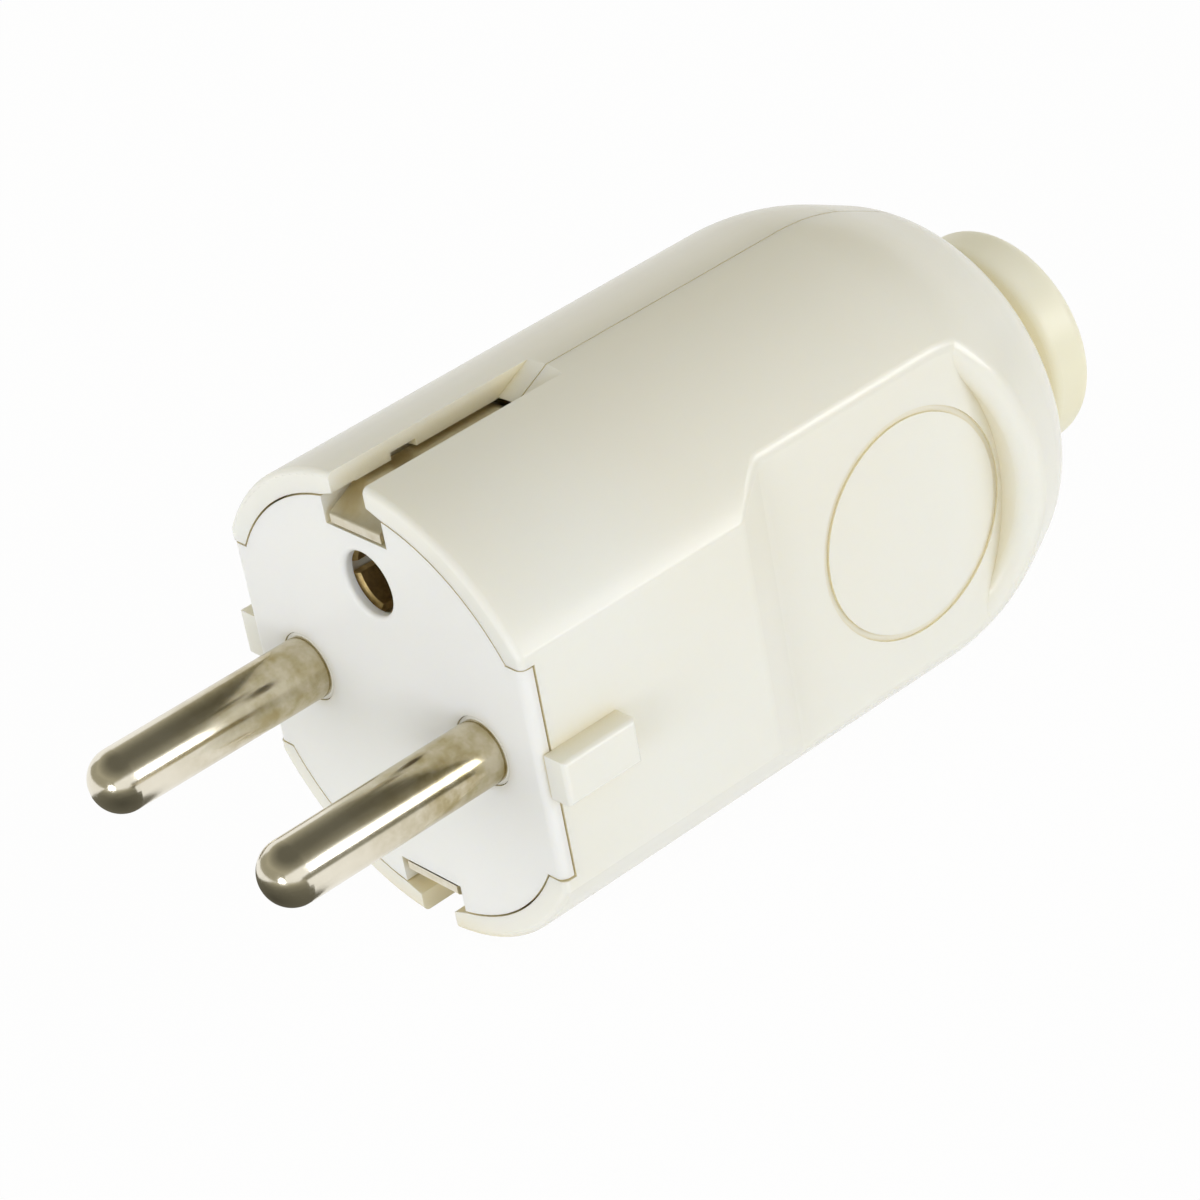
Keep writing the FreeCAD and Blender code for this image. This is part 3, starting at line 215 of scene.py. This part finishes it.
def recesses(tree, reach):
    """How far a place lies in a groove, seam or inner corner, looking round it to the given reach: the
    share of painted shade there.
    """
    shade = tree.nodes.new("ShaderNodeAmbientOcclusion")
    shade.samples = OPENNESS_RAYS
    shade.inputs["Distance"].default_value = reach
    return spread(tree, shade.outputs["AO"], FLAT_OPENNESS, GROOVE_OPENNESS, 0.0, MOST_PAINTED_SHADE)


def uneven_roughness(tree, shader, pattern, roughness):
    """Roughness that a pattern varies about its usual value."""
    rough = spread(tree, pattern, *GLOSS_SPAN, roughness * SMOOTHEST, roughness * ROUGHEST)
    tree.links.new(rough, shader.inputs["Roughness"])


def moulded_plastic(name, color, aged, painted_shade, painted_shade_reach, roughness, scatter):
    """Moulded plastic: faint yellowing at random, a painted warm shade in its grooves, seams and inner
    corners, and orange peel.
    """
    material, tree, shader, place = new_material(name)
    clouds = spread(tree, noise(tree, place, *CLOUDS), *CLOUD_SPAN)
    base = blend_colors(tree, clouds, color, aged)
    # Painted shade: a darker, warm tint where a place lies in a groove, seam or inner corner.
    base = blend_colors(tree, recesses(tree, painted_shade_reach), base, painted_shade)
    tree.links.new(base, shader.inputs["Base Color"])
    shader.inputs["Roughness"].default_value = roughness
    shader.inputs["IOR"].default_value = PLASTIC_IOR
    shader.inputs["Subsurface Weight"].default_value = scatter
    shader.inputs["Subsurface Radius"].default_value = SCATTER_BY_COLOR
    shader.inputs["Subsurface Scale"].default_value = SCATTER_LENGTH
    peel = noise(tree, place, *ORANGE_PEEL)
    flow = noise(tree, place, *FLOW_MARKS)
    bump(tree, shader, [(peel, *PEEL_BUMP), (flow, *FLOW_BUMP)])
    return material


def plated_metal(name, color, tarnish, roughness, pin):
    """Nickel plate with mottled tarnish, which is worn off towards the end of a pin."""
    material, tree, shader, place = new_material(name)
    stretch = tree.nodes.new("ShaderNodeMapping")
    stretch.inputs["Scale"].default_value = SCRATCH_STRETCH
    tree.links.new(place, stretch.inputs["Vector"])
    scratches = noise(tree, stretch.outputs["Vector"], *SCRATCHES)
    spots = noise(tree, place, *TARNISH_SPOTS, SPOT_ROUGHNESS)
    mottle = spread(tree, spots, *SPOT_SPAN, LEAST_TARNISH, 1.0)
    if pin:
        split = tree.nodes.new("ShaderNodeSeparateXYZ")
        tree.links.new(place, split.inputs["Vector"])
        along = split.outputs["Y"]
        kept = spread(tree, along, BRIGHT_START, TARNISH_END, TARNISH_LEFT, 1.0)
        base = blend_colors(tree, math_node(tree, "MULTIPLY", mottle, kept), color, tarnish)
        skin = spread(tree, along, SKIN_START, SKIN_END)
        base = blend_colors(tree, skin, base, SKIN_COLOR)
        tree.links.new(spread(tree, skin, 0.0, 1.0, 1.0, 0.0), shader.inputs["Metallic"])
    else:
        base = blend_colors(tree, mottle, color, tarnish)
        shader.inputs["Metallic"].default_value = 1.0
    tree.links.new(base, shader.inputs["Base Color"])
    uneven_roughness(tree, shader, scratches, roughness)
    dimples = noise(tree, place, *DIMPLES)
    bump(tree, shader, [(scratches, *SCRATCH_BUMP), (dimples, *DIMPLE_BUMP)])
    return material


def turned_metal(name, color, dark, roughness):
    """Turned or rolled metal with a fine grain."""
    material, tree, shader, place = new_material(name)
    grain = noise(tree, place, *TURNING_GRAIN)
    base = blend_colors(tree, spread(tree, grain, *GRAIN_SPAN), color, dark)
    tree.links.new(base, shader.inputs["Base Color"])
    shader.inputs["Metallic"].default_value = 1.0
    uneven_roughness(tree, shader, grain, roughness)
    bump(tree, shader, [(grain, *GRAIN_BUMP)])
    return material


def slot_materials():
    """The material for each slot of the record."""
    materials = {name: moulded_plastic(name, **finish) for name, finish in PLASTICS.items()}
    materials.update({name: plated_metal(name, **finish) for name, finish in PLATED_METALS.items()})
    materials.update({name: turned_metal(name, **finish) for name, finish in TURNED_METALS.items()})
    return materials


def finish_nodes():
    """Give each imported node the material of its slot."""
    materials = slot_materials()
    slots = {part["node"]: part["material_slot"] for part in frame["record"]["subparts"]}
    for name, thing in frame["nodes"].items():
        thing.data.materials.clear()
        thing.data.materials.append(materials[slots[name]])


# World and floor

WORLD_COLOR = (1.0, 0.955, 0.79, 1.0)
WORLD_STRENGTH = 0.50
FLOOR_COLOR = srgb(244, 244, 243)
FLOOR_ROUGHNESS = 0.8
FLOOR_HALF_SIZE = 3.0
FLOOR_WHITE_SHARE = 0.97


def shown_white(tree, surface, white, share, output):
    """Show a surface as the white one, by a share, but only to the camera and through gloss and glass."""
    rays = tree.nodes.new("ShaderNodeLightPath")
    seen = rays.outputs["Is Camera Ray"]
    for ray in ("Is Glossy Ray", "Is Transmission Ray"):
        seen = math_node(tree, "MAXIMUM", seen, rays.outputs[ray])
    mix = tree.nodes.new("ShaderNodeMixShader")
    tree.links.new(spread(tree, seen, 0.0, 1.0, 0.0, share), mix.inputs["Fac"])
    tree.links.new(surface, mix.inputs[1])
    tree.links.new(white, mix.inputs[2])
    tree.links.new(mix.outputs["Shader"], output.inputs["Surface"])


def white_world():
    """White where it is seen, a warm and even fill light elsewhere."""
    world = bpy.data.worlds.new("studio")
    scene.world = world
    world.use_nodes = True
    tree = world.node_tree
    tree.nodes.clear()
    fill = tree.nodes.new("ShaderNodeBackground")
    fill.inputs["Color"].default_value = WORLD_COLOR
    fill.inputs["Strength"].default_value = WORLD_STRENGTH
    white = tree.nodes.new("ShaderNodeBackground")
    white.inputs["Color"].default_value = (1.0, 1.0, 1.0, 1.0)
    white.inputs["Strength"].default_value = 1.0
    output = tree.nodes.new("ShaderNodeOutputWorld")
    shown_white(tree, fill.outputs["Background"], white.outputs["Background"], 1.0, output)


def studio_sheet(name, place, corners, material):
    """One face that belongs to the studio and not to the object."""
    mesh = bpy.data.meshes.new(name)
    mesh.from_pydata(corners, [], [tuple(range(len(corners)))])
    mesh.materials.append(material)
    sheet = bpy.data.objects.new(name, mesh)
    sheet.location = place
    scene.collection.objects.link(sheet)
    return sheet


def flat_corners(left, right, near, far):
    return [(left, near, 0.0), (right, near, 0.0), (right, far, 0.0), (left, far, 0.0)]


def upright_corners(start, end, height):
    return [(*start, 0.0), (*end, 0.0), (*end, height), (*start, height)]


def pale_floor():
    """Floor at the housing's lowest line, shown white apart from a soft shadow."""
    material, tree, output = empty_material("floor")
    shader = tree.nodes.new("ShaderNodeBsdfPrincipled")
    shader.inputs["Base Color"].default_value = FLOOR_COLOR
    shader.inputs["Roughness"].default_value = FLOOR_ROUGHNESS
    white = tree.nodes.new("ShaderNodeEmission")
    white.inputs["Strength"].default_value = 1.0
    shown_white(tree, shader.outputs["BSDF"], white.outputs["Emission"], FLOOR_WHITE_SHARE, output)
    half = FLOOR_HALF_SIZE
    studio_sheet("floor", (0.0, 0.0, FLOOR_HEIGHT), flat_corners(-half, half, -half, half), material)


# Cards that only reflections see. The low ones lie or stand just above the floor.
CARD_COLOR = (1.0, 0.95, 0.74, 1.0)
CARD_HEIGHT = FLOOR_HEIGHT + 0.0005
CARD_REACH = 0.75
OVERHEAD_HEIGHT = 0.36
SIDE_HEIGHT = 0.38
SIDE_GREY = 0.38
WALL_HEIGHT = 0.07
TABLE_GREY = 0.25


def reflection_card(name, place, corners, near, far):
    """Card whose grey changes with the distance from its place: near and far are a distance and a grey."""
    material, tree, output = empty_material(name)
    distance = tree.nodes.new("ShaderNodeVectorMath")
    distance.operation = "LENGTH"
    tree.links.new(object_place(tree), distance.inputs[0])
    grey = spread(tree, distance.outputs["Value"], near[0], far[0], near[1], far[1])
    glow = tree.nodes.new("ShaderNodeEmission")
    glow.inputs["Color"].default_value = CARD_COLOR
    tree.links.new(grey, glow.inputs["Strength"])
    tree.links.new(glow.outputs["Emission"], output.inputs["Surface"])
    card = studio_sheet(name, place, corners, material)
    card.visible_camera = False
    card.visible_diffuse = False
    card.visible_shadow = False


def even_card(name, corners, grey):
    """Card of one grey on the floor, or standing on it."""
    reflection_card(name, (0.0, 0.0, CARD_HEIGHT), corners, (0.0, grey), (1.0, grey))


def reflection_cards():
    """What the plastic and the pins mirror: a dark ceiling, a darker floor in front and grey round it."""
    overhead = flat_corners(-CARD_REACH, 0.52, -CARD_REACH, CARD_REACH)
    reflection_card("overhead_card", (0.0, 0.0, OVERHEAD_HEIGHT), overhead, (0.18, 0.14), (0.62, 0.42))
    front = flat_corners(-0.035, 0.30, -0.35, 0.02)
    reflection_card("front_card", (0.0, -0.028, CARD_HEIGHT), front, (0.0, 0.08), (0.14, 0.45))

    corner = (-CARD_REACH, -CARD_REACH)
    even_card("left_card_0", upright_corners((0.45, -CARD_REACH), corner, SIDE_HEIGHT), SIDE_GREY)
    even_card("left_card_1", upright_corners(corner, (-CARD_REACH, -0.10), SIDE_HEIGHT), SIDE_GREY)

    table_right = (0.80, -0.10)
    table_rear = (0.05, 0.80)
    table = [(0.14, -0.10), table_right, (0.80, 0.80), table_rear, (0.05, 0.14)]
    even_card("table_card", [(*place, 0.0) for place in table], TABLE_GREY)
    even_card("wall_card", upright_corners(table_right, table_rear, WALL_HEIGHT), TABLE_GREY)


# Lamps and camera

BODY_CENTRE = Vector((0.0, 0.02, 0.0))
LAMP_DISTANCE = 0.60
LAMPS = {
    "key": {
        "direction": (0.80, 0.51, 0.28), "shape": "RECTANGLE", "size": (0.30, 0.20),
        "color": (0.92, 0.94, 1.0), "power": 1.02, "mirrored": True},
    "left": {
        "direction": (-1.0, -0.30, 0.12), "shape": "RECTANGLE", "size": (0.40, 0.40),
        "color": (1.0, 1.0, 1.0), "power": 0.70, "mirrored": False},
    "front": {
        "direction": (0.33, -0.95, 0.03), "shape": "DISK", "size": (0.20, 0.20),
        "color": (0.898, 0.926, 1.0), "power": 0.76, "mirrored": True},
    "front_wide": {
        "direction": (0.15, -1.0, -0.06), "shape": "RECTANGLE", "size": (0.80, 0.60),
        "color": (0.80, 0.847, 1.0), "power": 2.75, "mirrored": False},
    "side": {
        "direction": (1.0, -0.25, -0.02), "shape": "RECTANGLE", "size": (0.35, 0.35),
        "color": (0.76, 0.82, 1.0), "power": 0.88, "mirrored": False},
}

CAMERA_PLACE = Vector((0.21401, -0.14045, 0.15725))
CAMERA_AIM = Vector((0.007265, 0.013706, 0.003986))
CAMERA_ROLL = math.radians(-10.82)
CAMERA_LENS = 130.37
SENSOR_WIDTH = 36.0
NEAREST_SHOWN = 0.01


def soft_lamp(name, direction, shape, size, color, power, mirrored):
    """Lamp in a direction from the plug's middle, turned to face it, and seen in gloss if mirrored."""
    lamp = bpy.data.lights.new(name, "AREA")
    lamp.shape = shape
    lamp.size, lamp.size_y = size
    lamp.color = color
    lamp.energy = power
    thing = bpy.data.objects.new(name, lamp)
    towards = Vector(direction).normalized()
    thing.location = BODY_CENTRE + towards * LAMP_DISTANCE
    thing.rotation_euler = (-towards).to_track_quat("-Z", "Y").to_euler()
    thing.visible_glossy = mirrored
    scene.collection.objects.link(thing)


def photo_camera():
    """Camera where the photograph was taken from, tilted a little about its line of sight."""
    data = bpy.data.cameras.new("camera")
    data.lens = CAMERA_LENS
    data.sensor_width = SENSOR_WIDTH
    data.sensor_fit = "HORIZONTAL"
    data.clip_start = NEAREST_SHOWN
    camera = bpy.data.objects.new("camera", data)
    level = (CAMERA_AIM - CAMERA_PLACE).to_track_quat("-Z", "Y")
    camera.rotation_mode = "QUATERNION"
    camera.rotation_quaternion = level @ Quaternion((0, 0, 1), CAMERA_ROLL)
    camera.location = CAMERA_PLACE
    scene.collection.objects.link(camera)
    scene.camera = camera


finish_nodes()
white_world()
pale_floor()
reflection_cards()
for lamp_name, settings in LAMPS.items():
    soft_lamp(lamp_name, **settings)
photo_camera()
scene.view_settings.view_transform = "Standard"
